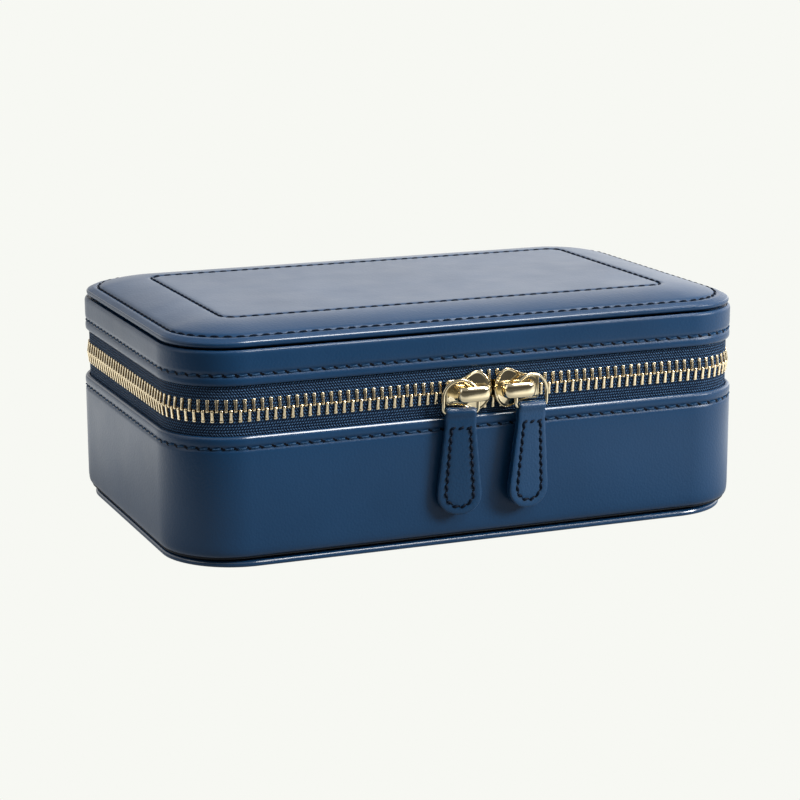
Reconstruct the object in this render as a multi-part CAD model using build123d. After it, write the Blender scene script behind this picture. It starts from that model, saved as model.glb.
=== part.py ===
from build123d import *
import os

# Zipped leather jewellery case. Millimetres, +Z up, +X to the right and -Y to
# the front. The origin is the centre of the flat base, where the case rests.

# The box
CASE_WIDTH = 167.0
CASE_DEPTH = 106.4
CORNER_RADIUS = 19.0
BASE_CORNER_RADIUS = 20.5

# Heights of the layers, from the table up
BASE_SKIN = 0.9
BASE_TOP = 2.0
BODY_BOTTOM = 2.6
FLOOR_TOP = 5.0
PAD_TOP = 6.0
TAPE_BOTTOM = 29.0
BODY_FRAME_TOP = 34.3
BODY_RIM = 35.1
LID_RIM = 48.1
LID_FRAME_BOTTOM = 48.9
TAPE_TOP = 54.2
LID_DECK_BOTTOM = 55.1
LID_DECK_TOP = 56.9
BAND_TOP = 57.6
PANEL_BOARD_TOP = 58.6
PANEL_EDGE = 60.4
CROWN_TOP = 62.6
ZIP_HEIGHT = (BODY_RIM + LID_RIM) / 2

# Distances in from the outline to each layer of the wall
LID_INSET = 0.4
BASE_INSET = 1.5
BASE_BOARD_INSET = 4.0
PANEL_INSET = 1.2
SKIN = 1.1
TAPE_OUTER = 1.4
TAPE_INNER = 2.0
FRAME_INNER = 4.4
LINING_INNER = 5.0
CROWN_MARGIN = 18.7
CROWN_STEPS = 5
BAND_TURN_IN = 8.0
RIM_ROUND = 0.6

# Zip
TOOTH_PITCH = 2.34
TOOTH_WIDTH = 0.9
TOOTH_HALF_DEPTH = 1.2
TOOTH_OUTER_END = 3.0
TOOTH_INNER_END = 0.4
TOOTH_SLOT_HALF = 0.31
TAPE_EDGE = 0.9
ZIP_END_X = 60.0
STOP_SPACE = 2.2
STOP_LENGTH = 1.8
STOP_HALF_DEPTH = 0.8

# Sliders, in their own frame: X to the nose, Y up, Z out of the case
SLIDERS_MEET_X = 3.35
SLIDER_NOSE_GAP = 0.4
SLIDER_HALF_LENGTH = 6.5
TAIL_HALF_HEIGHT = 3.4
NOSE_HALF_HEIGHT = 5.4
NOSE_START = 2.3
SHOULDER_START = -1.5
SHOULDER_HALF_HEIGHT = 3.7
PLATE_THICKNESS = 1.0
PLATE_CHAMFER = 0.35
PLATE_GAP_FRONT = 0.2
PLATE_GAP_BACK = 0.5
BACK_PLATE_THICKNESS = 0.8
FLANGE_START = -5.5
FLANGE_END = 0.0
FLANGE_BOTTOM = 3.9
FLANGE_TOP = 3.2
FLANGE_CLEARANCE = 0.2
NECK_LENGTH = 3.0
NECK_THICKNESS = 0.5
BRIDGE_HALF_LENGTH = 4.6
BRIDGE_FORWARD = 0.4
BRIDGE_POST = 1.0
BRIDGE_HALF_HEIGHT = 2.1
BRIDGE_SLOT = 3.2
BRIDGE_OUT = 4.3
BRIDGE_ROUND = 1.6
SLOT_ROUND = 0.9

# Pull rings and leather pulls
RING_WIRE = 0.9
RING_SPAN = 9.4
RING_TOP = 3.7
RING_BAR = -4.9
RING_OUT = 1.77
RING_CORNER = 0.8
RING_YAW = {"left": 10.0, "right": 7.0}
RING_LEAN = {"left": -1.0, "right": 2.4}
RING_BACKSET = {"left": 3.2, "right": 3.45}
PULL_BORE = 0.74
PULL_FOLD_OUTER = 1.4
PULL_HALF_THICKNESS = 1.1
PULL_NECK_HALF = 4.1
PULL_NECK_END = -8.6
PULL_WIDE_HALF = 5.95
PULL_WIDE_AT = -26.9
PULL_END = -32.4

# Inside
DIVIDER = 2.0
DIVIDER_TOP = 26.0
LONG_DIVIDER_Y = -1.0
REAR_DIVIDER_X = 21.0
FRONT_DIVIDER_X = -20.0
ROLL_COUNT = 5
ROLL_GAP = 0.3
ROLL_TOP = 22.0
ROLL_STEPS_IN = {3: 2.5, 4: 13.0}
CEILING_THICKNESS = 0.8
MIRROR_SIZE = (112.0, 62.0)
MIRROR_CORNER = 3.0
MIRROR_THICKNESS = 1.6
BEZEL_THICKNESS = 2.2
BEZEL_OUTSIDE = 5.0
BEZEL_LAP = 1.5
HINGE_INSET = 0.5
HINGE_STRIP = 1.2
HINGE_LINING = 0.8
HINGE_END_GAP = 1.0

os.makedirs("parts", exist_ok=True)


def save(shape, node):
    """Write one node's solids to its STEP file."""
    export_step(shape, f"parts/{node}.step")


def slab(inset, low, high, corner=CORNER_RADIUS):
    """The case's rounded outline, moved in by inset, from low to high."""
    outline = RectangleRounded(CASE_WIDTH - 2 * inset, CASE_DEPTH - 2 * inset, corner - inset)
    return extrude(Pos(0, 0, low) * outline, high - low)


def wall(outer, inner, low, high):
    """A closed ring that follows the outline between two insets."""
    return slab(outer, low, high) - slab(inner, low, high)


def block(x, y, z):
    """A box from three (low, high) pairs."""
    size = [high - low for low, high in (x, y, z)]
    middle = [(high + low) / 2 for low, high in (x, y, z)]
    return Pos(*middle) * Box(*size)


def rounded(solid, *heights):
    """Round a slab's whole edge at each of the heights given."""
    for height in heights:
        solid = fillet(solid.edges().filter_by_position(Axis.Z, height, height), RIM_ROUND)
    return solid


def crowned(inset, low, top):
    """A slab whose top rises from the edge to a flat middle, as padding does."""
    rise = CROWN_TOP - PANEL_EDGE
    margin = CROWN_MARGIN - inset
    body = slab(inset, low, top - rise)
    for step in range(CROWN_STEPS):
        start, end = step / CROWN_STEPS, (step + 1) / CROWN_STEPS
        lower, upper = [
            Pos(0, 0, top - rise * (1 - share) ** 2)
            * RectangleRounded(
                CASE_WIDTH - 2 * (inset + margin * share),
                CASE_DEPTH - 2 * (inset + margin * share),
                CORNER_RADIUS - inset - margin * share,
            )
            for share in (start, end)
        ]
        body += loft([lower.face(), upper.face()], ruled=True)
    return body


# The lower case


def base_board():
    return slab(BASE_BOARD_INSET, BASE_SKIN, BODY_BOTTOM)


def base_leather():
    skin = rounded(slab(BASE_INSET, 0, BASE_TOP, BASE_CORNER_RADIUS), 0, BASE_TOP)
    return skin - slab(BASE_BOARD_INSET, BASE_SKIN, BASE_TOP)


def body_frame():
    """The stiff box: full wall below the tape, thinner where the tape is glued on."""
    shell = slab(TAPE_OUTER, BODY_BOTTOM, TAPE_BOTTOM)
    shell += slab(TAPE_INNER, TAPE_BOTTOM, BODY_FRAME_TOP)
    return shell - slab(FRAME_INNER, FLOOR_TOP, BODY_FRAME_TOP)


def body_leather():
    band = rounded(slab(0, BODY_BOTTOM, BODY_RIM), BODY_BOTTOM, BODY_RIM)
    return band - slab(TAPE_OUTER, BODY_BOTTOM, BODY_RIM)


def floor_pad():
    return slab(FRAME_INNER, FLOOR_TOP, PAD_TOP)


def divider_long():
    reach = CASE_WIDTH / 2 - LINING_INNER
    return block(
        (-reach, reach), (LONG_DIVIDER_Y - DIVIDER, LONG_DIVIDER_Y), (PAD_TOP, DIVIDER_TOP)
    )


def divider_rear():
    reach = CASE_DEPTH / 2 - LINING_INNER
    return block(
        (REAR_DIVIDER_X, REAR_DIVIDER_X + DIVIDER),
        (LONG_DIVIDER_Y, reach),
        (PAD_TOP, DIVIDER_TOP),
    )


def divider_front():
    reach = CASE_DEPTH / 2 - LINING_INNER
    return block(
        (FRONT_DIVIDER_X - DIVIDER, FRONT_DIVIDER_X),
        (-reach, LONG_DIVIDER_Y - DIVIDER),
        (PAD_TOP, DIVIDER_TOP),
    )


def ring_roll(index):
    """One padded roll of the ring holder, round on top, in the rear compartment."""
    pitch = (CASE_DEPTH / 2 - LINING_INNER - LONG_DIVIDER_Y) / ROLL_COUNT
    radius = (pitch - ROLL_GAP) / 2
    centre = LONG_DIVIDER_Y + pitch * (index + 0.5)
    left = LINING_INNER - CASE_WIDTH / 2 + ROLL_GAP + ROLL_STEPS_IN.get(index, 0)
    right = REAR_DIVIDER_X - ROLL_GAP
    crest_height = ROLL_TOP - radius
    upright = block((left, right), (centre - radius, centre + radius), (PAD_TOP, crest_height))
    crest = Rot(0, 90, 0) * Cylinder(radius, right - left)
    return upright + Pos((left + right) / 2, centre, crest_height) * crest


# The lid


def lid_frame():
    shell = slab(TAPE_INNER, LID_FRAME_BOTTOM, LID_DECK_TOP)
    return shell - slab(FRAME_INNER, LID_FRAME_BOTTOM, LID_DECK_BOTTOM)


def lid_band_leather():
    """The leather round the lid's side, turned in over the deck under the top panel."""
    band = rounded(slab(LID_INSET, LID_RIM, BAND_TOP), LID_RIM, BAND_TOP)
    band -= slab(TAPE_OUTER, LID_RIM, TAPE_TOP)
    band -= slab(TAPE_INNER, TAPE_TOP, LID_DECK_TOP)
    return band - slab(BAND_TURN_IN, LID_DECK_TOP, BAND_TOP)


def lid_panel_board():
    board = slab(PANEL_INSET + SKIN, BAND_TOP, PANEL_BOARD_TOP)
    return board + slab(BAND_TURN_IN, LID_DECK_TOP, BAND_TOP)


def padding_block():
    """What the panel's leather covers above the board, carried on down past its edge."""
    return crowned(PANEL_INSET + SKIN, BAND_TOP, CROWN_TOP - SKIN)


def lid_padding():
    return padding_block() - slab(0, BAND_TOP, PANEL_BOARD_TOP)


def lid_panel_leather():
    cover = rounded(crowned(PANEL_INSET, BAND_TOP, CROWN_TOP), BAND_TOP)
    return cover - padding_block() - lid_panel_board()


def lid_ceiling_lining():
    return slab(FRAME_INNER, LID_DECK_BOTTOM - CEILING_THICKNESS, LID_DECK_BOTTOM)


def mirror_glass():
    top = LID_DECK_BOTTOM - CEILING_THICKNESS
    plate = RectangleRounded(*MIRROR_SIZE, MIRROR_CORNER)
    return extrude(Pos(0, 0, top - MIRROR_THICKNESS) * plate, MIRROR_THICKNESS)


def mirror_bezel():
    """A leather frame stuck to the lid's ceiling, lapping over the mirror's edge."""
    low = LID_DECK_BOTTOM - CEILING_THICKNESS - BEZEL_THICKNESS
    outer, window = [
        RectangleRounded(*[size + 2 * grow for size in MIRROR_SIZE], MIRROR_CORNER + grow)
        for grow in (BEZEL_OUTSIDE, -BEZEL_LAP)
    ]
    return extrude(Pos(0, 0, low) * (outer - window), BEZEL_THICKNESS) - mirror_glass()


# The zip


def back_gap():
    """The middle of the back, where the hinge strip is and the zip is not."""
    return block((-ZIP_END_X, ZIP_END_X), (0, CASE_DEPTH), (0, 2 * CROWN_TOP))


def tape(low, high):
    return wall(TAPE_OUTER, TAPE_INNER, low, high) - back_gap()


def zip_line():
    """The tape's middle line, from the back left round the front to the back right."""
    middle = (TAPE_OUTER + TAPE_INNER) / 2
    x, y = CASE_WIDTH / 2 - middle, CASE_DEPTH / 2 - middle
    return FilletPolyline(
        (-ZIP_END_X, y), (-x, y), (-x, -y), (x, -y), (x, y), (ZIP_END_X, y),
        radius=CORNER_RADIUS - middle,
    )


def clamp(length, half_depth):
    """A forked metal clamp, gripping the tape's edge from the side of the zip's middle."""
    half = length / 2
    solid = block((-half, half), (-half_depth, half_depth), (-TOOTH_OUTER_END, -TOOTH_INNER_END))
    slot = (-TOOTH_SLOT_HALF, TOOTH_SLOT_HALF)
    return solid - block((-half, half), slot, (-TOOTH_OUTER_END, -TAPE_EDGE))


def along_zip(solid, distances, side):
    """Copies of a clamp at distances along the zip, side 1 below it and -1 above."""
    line = zip_line()
    if side < 0:
        solid = solid.mirror(Plane.XY)
    copies = []
    for distance in distances:
        share = distance / line.length
        at = line.position_at(share)
        origin = (at.X, at.Y, ZIP_HEIGHT)
        frame = Plane(origin=origin, x_dir=line.tangent_at(share), z_dir=(0, 0, 1))
        copies.append(frame.location * solid)
    return Compound(children=copies)


def tooth_distances(side):
    """Where one row's teeth are. The upper row is half a pitch on from the lower."""
    length = zip_line().length
    count = int((length - 2 * STOP_SPACE) / TOOTH_PITCH)
    first = (length - (count - 0.5) * TOOTH_PITCH) / 2
    shift = 0 if side > 0 else TOOTH_PITCH / 2
    return [first + shift + number * TOOTH_PITCH for number in range(count)]


def zip_teeth(side):
    return along_zip(clamp(TOOTH_WIDTH, TOOTH_HALF_DEPTH), tooth_distances(side), side)


def zip_stops(side):
    ends = [STOP_SPACE / 2, zip_line().length - STOP_SPACE / 2]
    return along_zip(clamp(STOP_LENGTH, STOP_HALF_DEPTH), ends, side)


def hinge_strip(inset, thickness):
    """A flexible strip along the back, from the body's rim to the lid's."""
    reach = ZIP_END_X - HINGE_END_GAP
    outer = CASE_DEPTH / 2 - inset
    return block((-reach, reach), (outer - thickness, outer), (BODY_RIM, LID_RIM))


# The sliders. Each is drawn for the left half, nose to +X, and mirrored for the right.


def slider_outline():
    """The plate from the front: a narrow tail that widens to a round nose."""
    half, nose = SLIDER_HALF_LENGTH, NOSE_HALF_HEIGHT
    side = [(-half, TAIL_HALF_HEIGHT), (SHOULDER_START, SHOULDER_HALF_HEIGHT), (NOSE_START, nose)]
    other_side = [(along, -up) for along, up in reversed(side)]
    front = ThreePointArc((NOSE_START, nose), (half, 0), (NOSE_START, -nose))
    return make_face(Polyline(*side) + front + Polyline(*other_side, side[0]))


def plate_out():
    """How far the front plate's outer face is from the middle of the case."""
    tooth_front = CASE_DEPTH / 2 - (TAPE_OUTER + TAPE_INNER) / 2 + TOOTH_HALF_DEPTH
    return tooth_front + PLATE_GAP_FRONT + PLATE_THICKNESS


def slider_frame():
    """Local X along the zip, local Y up, local Z outwards, on the plate's outer face."""
    return Plane(origin=(0, -plate_out(), ZIP_HEIGHT), x_dir=(1, 0, 0), z_dir=(0, -1, 0))


def slider_body():
    """Two plates joined by the neck, with a flange on each below the lower teeth."""
    tooth_back = CASE_DEPTH / 2 - (TAPE_OUTER + TAPE_INNER) / 2 - TOOTH_HALF_DEPTH
    back_face = tooth_back - PLATE_GAP_BACK - plate_out()
    tape_front = CASE_DEPTH / 2 - TAPE_OUTER - plate_out()
    tape_back = CASE_DEPTH / 2 - TAPE_INNER - plate_out()
    outline = slider_outline()
    front = extrude(Pos(0, 0, -PLATE_THICKNESS) * outline, PLATE_THICKNESS)
    front = chamfer(front.faces().sort_by(Axis.Z)[-1].edges(), PLATE_CHAMFER)
    back = extrude(Pos(0, 0, back_face - BACK_PLATE_THICKNESS) * outline, BACK_PLATE_THICKNESS)
    neck = block(
        (NOSE_START, NOSE_START + NECK_LENGTH),
        (-NECK_THICKNESS / 2, NECK_THICKNESS / 2),
        (back_face, -PLATE_THICKNESS),
    )
    shape = front + back + neck
    for depth in (
        (tape_front + FLANGE_CLEARANCE, -PLATE_THICKNESS),
        (back_face, tape_back - FLANGE_CLEARANCE),
    ):
        shape += block((FLANGE_START, FLANGE_END), (-FLANGE_BOTTOM, -FLANGE_TOP), depth)
    return slider_frame().location * shape


def slider_bridge():
    """The arch on the front plate that the pull ring hangs from."""
    half, high = BRIDGE_HALF_LENGTH, BRIDGE_HALF_HEIGHT
    outer = Rectangle(2 * half, BRIDGE_OUT, align=(Align.CENTER, Align.MIN))
    outer = fillet(outer.vertices().group_by(Axis.Y)[-1], BRIDGE_ROUND)
    slot = Rectangle(2 * (half - BRIDGE_POST), BRIDGE_SLOT, align=(Align.CENTER, Align.MIN))
    slot = fillet(slot.vertices().group_by(Axis.Y)[-1], SLOT_ROUND)
    arch = extrude(outer - slot, high, both=True)
    return Pos(BRIDGE_FORWARD, -plate_out(), ZIP_HEIGHT) * Rot(0, 0, 180) * arch


def ring_place(side):
    """The pull ring's own frame: X across it, Y up, Z outwards, at the zip's height."""
    turned = Rot(0, 0, -RING_YAW[side]) * Rot(90, 0, 0) * Rot(0, 0, RING_LEAN[side])
    return Pos(-RING_BACKSET[side], -plate_out() - RING_OUT, ZIP_HEIGHT) * turned


def horseshoe(grow):
    """A flat-bottomed arch round the ring's middle line, grown by half the wire."""
    radius = RING_SPAN / 2 + grow
    spring = RING_TOP - RING_SPAN / 2
    bar = RING_BAR - grow
    legs = Polyline((-radius, spring), (-radius, bar), (radius, bar), (radius, spring))
    arch = ThreePointArc((radius, spring), (0, spring + radius), (-radius, spring))
    return make_face(legs + arch)


def pull_ring(side):
    half = RING_WIRE / 2
    outline = horseshoe(half)
    outline = fillet(outline.vertices().group_by(Axis.Y)[0], RING_CORNER)
    ring = extrude(outline - horseshoe(-half), half, both=True)
    return ring_place(side) * ring


def leather_pull(side):
    """A strap folded round the ring's bar, widening to a round end."""
    neck, wide = PULL_NECK_HALF, PULL_WIDE_HALF
    sides = Polyline((neck, RING_BAR), (neck, PULL_NECK_END), (wide, PULL_WIDE_AT))
    end = ThreePointArc((wide, PULL_WIDE_AT), (0, PULL_END), (-wide, PULL_WIDE_AT))
    other = Polyline(
        (-wide, PULL_WIDE_AT), (-neck, PULL_NECK_END), (-neck, RING_BAR), (neck, RING_BAR)
    )
    strap = extrude(make_face(sides + end + other), PULL_HALF_THICKNESS, both=True)
    fold = Pos(0, RING_BAR) * Rot(0, 90, 0) * Cylinder(PULL_FOLD_OUTER, 2 * neck)
    bore = Pos(0, RING_BAR) * Rot(0, 90, 0) * Cylinder(PULL_BORE, 2 * neck)
    return ring_place(side) * (strap + fold - bore)


def slider_x():
    return SLIDERS_MEET_X - SLIDER_NOSE_GAP - SLIDER_HALF_LENGTH


def placed(shape, side):
    """Move a piece drawn at the middle to its slider, mirrored on the right."""
    if side == "right":
        shape = shape.mirror(Plane.YZ)
        return Pos(2 * SLIDERS_MEET_X - slider_x(), 0, 0) * shape
    return Pos(slider_x(), 0, 0) * shape


def main():
    save(base_board(), "base_board")
    save(base_leather(), "base_leather")
    save(body_frame(), "body_frame")
    save(body_leather(), "body_leather")
    save(wall(TAPE_INNER, LINING_INNER, BODY_FRAME_TOP, BODY_RIM), "body_inner_rim")
    save(wall(FRAME_INNER, LINING_INNER, PAD_TOP, BODY_FRAME_TOP), "body_wall_lining")
    save(floor_pad(), "floor_pad")
    save(divider_long(), "divider_long")
    save(divider_rear(), "divider_rear")
    save(divider_front(), "divider_front")
    for index in range(ROLL_COUNT):
        save(ring_roll(index), f"ring_roll_{index + 1}")

    save(lid_frame(), "lid_frame")
    save(lid_band_leather(), "lid_band_leather")
    save(lid_panel_board(), "lid_panel_board")
    save(lid_padding(), "lid_padding")
    save(lid_panel_leather(), "lid_panel_leather")
    save(wall(TAPE_INNER, LINING_INNER, LID_RIM, LID_FRAME_BOTTOM), "lid_inner_rim")
    lining_top = LID_DECK_BOTTOM - CEILING_THICKNESS
    save(wall(FRAME_INNER, LINING_INNER, LID_FRAME_BOTTOM, lining_top), "lid_wall_lining")
    save(lid_ceiling_lining(), "lid_ceiling_lining")
    save(mirror_glass(), "mirror")
    save(mirror_bezel(), "mirror_bezel")

    save(tape(TAPE_BOTTOM, ZIP_HEIGHT - TAPE_EDGE), "zip_tape_lower")
    save(tape(ZIP_HEIGHT + TAPE_EDGE, TAPE_TOP), "zip_tape_upper")
    save(zip_teeth(1), "zip_teeth_lower")
    save(zip_teeth(-1), "zip_teeth_upper")
    save(zip_stops(1), "zip_stops_lower")
    save(zip_stops(-1), "zip_stops_upper")
    save(hinge_strip(HINGE_INSET, HINGE_STRIP), "hinge_leather")
    save(hinge_strip(TAPE_INNER, HINGE_LINING), "hinge_lining")

    for side in ("left", "right"):
        save(placed(slider_body(), side), f"slider_body_{side}")
        save(placed(slider_bridge(), side), f"slider_bridge_{side}")
        save(placed(pull_ring(side), side), f"pull_ring_{side}")
        save(placed(leather_pull(side), side), f"leather_pull_{side}")


main()
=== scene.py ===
from math import cos, exp, hypot, pi, radians, sin

import bmesh
import bpy
from mathutils import Matrix, Vector


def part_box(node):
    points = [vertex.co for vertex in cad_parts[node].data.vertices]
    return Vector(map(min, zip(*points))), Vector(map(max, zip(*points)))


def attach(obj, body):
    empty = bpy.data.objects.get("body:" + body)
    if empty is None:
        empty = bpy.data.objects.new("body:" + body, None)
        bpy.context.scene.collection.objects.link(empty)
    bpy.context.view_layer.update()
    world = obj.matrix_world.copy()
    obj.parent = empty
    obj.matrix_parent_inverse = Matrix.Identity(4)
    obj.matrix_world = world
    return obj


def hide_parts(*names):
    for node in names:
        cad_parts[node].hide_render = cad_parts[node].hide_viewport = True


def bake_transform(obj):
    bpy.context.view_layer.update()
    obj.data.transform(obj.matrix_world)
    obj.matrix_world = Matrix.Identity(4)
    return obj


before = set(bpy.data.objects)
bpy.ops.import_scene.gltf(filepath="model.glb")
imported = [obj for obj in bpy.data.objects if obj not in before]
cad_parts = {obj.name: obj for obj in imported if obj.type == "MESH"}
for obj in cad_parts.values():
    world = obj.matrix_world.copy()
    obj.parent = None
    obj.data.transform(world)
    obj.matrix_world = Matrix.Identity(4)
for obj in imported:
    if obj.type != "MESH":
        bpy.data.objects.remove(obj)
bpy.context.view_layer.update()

# The looks of a zipped leather jewellery case. Lengths below are millimetres, in the
# frame of the CAD model: +Z up, -Y to the front. Meshes are scaled to metres when made.

MM = 0.001

# The case's plan. The leather is drawn 0.3 mm inside the CAD case at its left and right.
CASE_WIDTH = 166.4
CASE_DEPTH = 106.4
CORNER_RADIUS = 19.0
BASE_CORNER_RADIUS = 21.5
PANEL_CORNER = 17.0
SMALLEST_CORNER = 4.0
ARC_STEPS = 24
RUN_SHARES = (0.01, 0.25, 0.5, 0.75, 0.99)

# Heights and insets
BODY_RIM = 35.1
LID_RIM = 48.1
ZIP_HEIGHT = 41.6
CROWN_TOP = 62.6
CROWN_RISE = 3.0
CROWN_MARGIN = 18.7
PANEL_INSET = 1.2
EDGE_ROW = 4.0
BODY_ROW_HEIGHT = 32.0
BODY_ROW_INSET = 0.31
BAND_ROW_HEIGHT = 50.9
BAND_ROW_INSET = 0.75

# Zip
ZIP_END_X = 60.0
ZIP_INSET = 1.7
TOOTH_PITCH = 2.34
SLIDERS_MEET_X = 3.35
SPREAD_HALF = 2.2
SPREAD_START = 9.0
SPREAD_FULL = 3.0
END_STOP_ROOM = 4.4

# Sliders
PLATE_OUT = 53.9
PLATE_BACK = 49.8
SLIDER_X = {"left": -3.55, "right": 10.25}
RING_X = {"left": -6.75, "right": 13.7}
RING_LEAN = {"left": -1.0, "right": -2.4}
BRIDGE_FORWARD = 0.4
RING_OUT = 1.77
RING_WIRE = 0.47
RING_YAW = {"left": -10.0, "right": 7.0}

# Leather pulls, in the ring's frame: X across, Y up, Z out of the case
PULL_BAR = -4.9
PULL_NECK = 4.1
PULL_NECK_END = -8.6
PULL_WIDE = 5.95
PULL_WIDE_AT = -26.9
PULL_END = -32.4
PULL_LAYER = 0.92
PULL_ROW_TOP = -8.9
PULL_ROW_INSET_TOP = 1.6
PULL_ROW_INSET = 2.2

# Threads
STITCH_PITCH = 3.33
PULL_STITCH_PITCH = 2.1
STITCH_SIDES = 6
STITCH_STATIONS = (-1.0, -0.86, -0.5, 0.0, 0.5, 0.86, 1.0)

# Camera and backdrop
CAMERA_AZIMUTH = -22.27
CAMERA_ELEVATION = 12.41
CAMERA_ROLL = -0.17
CAMERA_DISTANCE = 676.0
CAMERA_TARGET_Z = 31.3
BACKDROP = (0.930, 0.939, 0.896, 1.0)
FLOOR_REACH = 12000.0


# Materials


def add(tree, kind, inputs=(), **settings):
    """A shader node with its inputs linked or set."""
    node = tree.nodes.new(kind)
    for key, value in settings.items():
        setattr(node, key, value)
    for key, value in dict(inputs).items():
        if isinstance(value, bpy.types.NodeSocket):
            tree.links.new(value, node.inputs[key])
        else:
            node.inputs[key].default_value = value
    return node


def new_material(name):
    """An empty principled material: the material, its node tree and its shader."""
    material = bpy.data.materials.new(name)
    material.use_nodes = True
    tree = material.node_tree
    return material, tree, tree.nodes["Principled BSDF"]


def rgba(colour):
    return (*colour, 1.0)


def noise(tree, scale, detail=2.0, roughness=0.5, vector=None):
    vector = vector or add(tree, "ShaderNodeTexCoord").outputs["Object"]
    inputs = {"Vector": vector, "Scale": scale, "Detail": detail, "Roughness": roughness}
    return add(tree, "ShaderNodeTexNoise", inputs).outputs["Fac"]


def calc(tree, operation, first, second=0.0):
    return add(tree, "ShaderNodeMath", {0: first, 1: second}, operation=operation).outputs[0]


def between(tree, factor, low, high):
    """low to high as the factor goes from 0 to 1."""
    node = add(tree, "ShaderNodeMapRange", {"Value": factor, "To Min": low, "To Max": high})
    return node.outputs["Result"]


def smooth_range(tree, value, start, end, low, high):
    """low to high, eased, as the value goes from start to end."""
    inputs = {"Value": value, "From Min": start, "From Max": end, "To Min": low, "To Max": high}
    node = add(tree, "ShaderNodeMapRange", inputs, interpolation_type="SMOOTHSTEP")
    return node.outputs["Result"]


def two_tones(tree, factor, dark, light, low=0.3, high=0.7):
    ramp = add(tree, "ShaderNodeValToRGB", {"Fac": factor})
    for element, place, colour in zip(ramp.color_ramp.elements, (low, high), (dark, light)):
        element.position = place
        element.color = rgba(colour)
    return ramp.outputs["Color"]


def bump(tree, height, distance, strength=1.0, onto=None):
    inputs = {"Height": height, "Distance": distance * MM, "Strength": strength}
    if onto:
        inputs["Normal"] = onto
    return add(tree, "ShaderNodeBump", inputs).outputs["Normal"]


def leather(name, dark, light, gloss=0.34, grain=0.03, index=1.4):
    """Smooth calf leather: fine pores, soft creases and a faint change of tone."""
    material, tree, shader = new_material(name)
    object_space = add(tree, "ShaderNodeTexCoord").outputs["Object"]
    cells = add(
        tree,
        "ShaderNodeTexVoronoi",
        {"Vector": object_space, "Scale": 1500.0, "Smoothness": 0.6},
        feature="SMOOTH_F1",
    ).outputs["Distance"]
    waves = noise(tree, 90.0, 3.0)
    broad = noise(tree, 28.0, 2.0)
    tree.links.new(two_tones(tree, broad, dark, light), shader.inputs["Base Color"])
    tree.links.new(between(tree, waves, gloss - 0.05, gloss + 0.05), shader.inputs["Roughness"])
    shader.inputs["IOR"].default_value = index
    soft = bump(tree, waves, 0.05)
    tree.links.new(bump(tree, cells, grain, onto=soft), shader.inputs["Normal"])
    return material


def woven(name, dark, light):
    """Zip tape: a herringbone weave laid out along the tape by its UV map, in millimetres. The
    pattern is the tape's own, but its colour follows the weave's height: lighter yarn crowns are
    painted highlight and near-black gaps painted shade.
    """
    material, tree, shader = new_material(name)
    uv = add(tree, "ShaderNodeUVMap", uv_map="surface").outputs["UV"]
    parts = add(tree, "ShaderNodeSeparateXYZ", {"Vector": uv})
    along, across = parts.outputs["X"], parts.outputs["Y"]
    folded = calc(tree, "PINGPONG", across, 2.2)
    slanted = calc(tree, "ADD", along, folded)
    ribs = calc(tree, "SINE", calc(tree, "MULTIPLY", slanted, 2 * pi / 0.75))
    yarns = calc(tree, "SINE", calc(tree, "MULTIPLY", across, 2 * pi / 0.55))
    weave = calc(tree, "MULTIPLY", calc(tree, "ADD", ribs, 1.3), calc(tree, "ADD", yarns, 1.5))
    fuzz = calc(tree, "MULTIPLY", noise(tree, 2600.0, 3.0), 2.2)
    height = calc(tree, "ADD", weave, fuzz)
    share = calc(tree, "MULTIPLY", height, 0.13)
    # Lighter where the weave stands high, near-black between the yarns: painted highlight and
    # painted shade over the weave's pattern.
    tree.links.new(two_tones(tree, share, dark, light, 0.25, 0.8), shader.inputs["Base Color"])
    shader.inputs["Roughness"].default_value = 0.7
    shader.inputs["IOR"].default_value = 1.25
    tree.links.new(bump(tree, height, 0.06), shader.inputs["Normal"])
    return material


def metal(name, colour, gloss):
    """Polished plating with the faintest brushing and waviness."""
    material, tree, shader = new_material(name)
    wear = noise(tree, 260.0, 4.0)
    shader.inputs["Metallic"].default_value = 1.0
    deep = tuple(part * 0.9 for part in colour)
    tree.links.new(two_tones(tree, wear, deep, colour), shader.inputs["Base Color"])
    tree.links.new(between(tree, wear, gloss - 0.04, gloss + 0.06), shader.inputs["Roughness"])
    tree.links.new(bump(tree, noise(tree, 520.0), 0.02), shader.inputs["Normal"])
    return material


def thread(name, dark, light):
    """Twisted sewing thread."""
    material, tree, shader = new_material(name)
    strands = noise(tree, 3200.0, 2.0)
    tree.links.new(two_tones(tree, strands, dark, light), shader.inputs["Base Color"])
    shader.inputs["Roughness"].default_value = 0.6
    shader.inputs["IOR"].default_value = 1.2
    tree.links.new(bump(tree, strands, 0.06), shader.inputs["Normal"])
    return material


def suede(name, dark, light):
    """Microsuede: a short nap that is brushed lighter and darker."""
    material, tree, shader = new_material(name)
    brushed = noise(tree, 60.0, 4.0, 0.6)
    nap = noise(tree, 3800.0, 2.0)
    tree.links.new(two_tones(tree, brushed, dark, light), shader.inputs["Base Color"])
    tree.links.new(between(tree, brushed, 0.8, 0.95), shader.inputs["Roughness"])
    shader.inputs["Sheen Weight"].default_value = 0.35
    shader.inputs["Sheen Roughness"].default_value = 0.4
    tree.links.new(bump(tree, nap, 0.08, 0.6), shader.inputs["Normal"])
    return material


def fibreboard(name, dark, light):
    material, tree, shader = new_material(name)
    fibres = noise(tree, 700.0, 5.0, 0.7)
    tree.links.new(two_tones(tree, fibres, dark, light), shader.inputs["Base Color"])
    shader.inputs["Roughness"].default_value = 0.85
    tree.links.new(bump(tree, fibres, 0.06), shader.inputs["Normal"])
    return material


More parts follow.
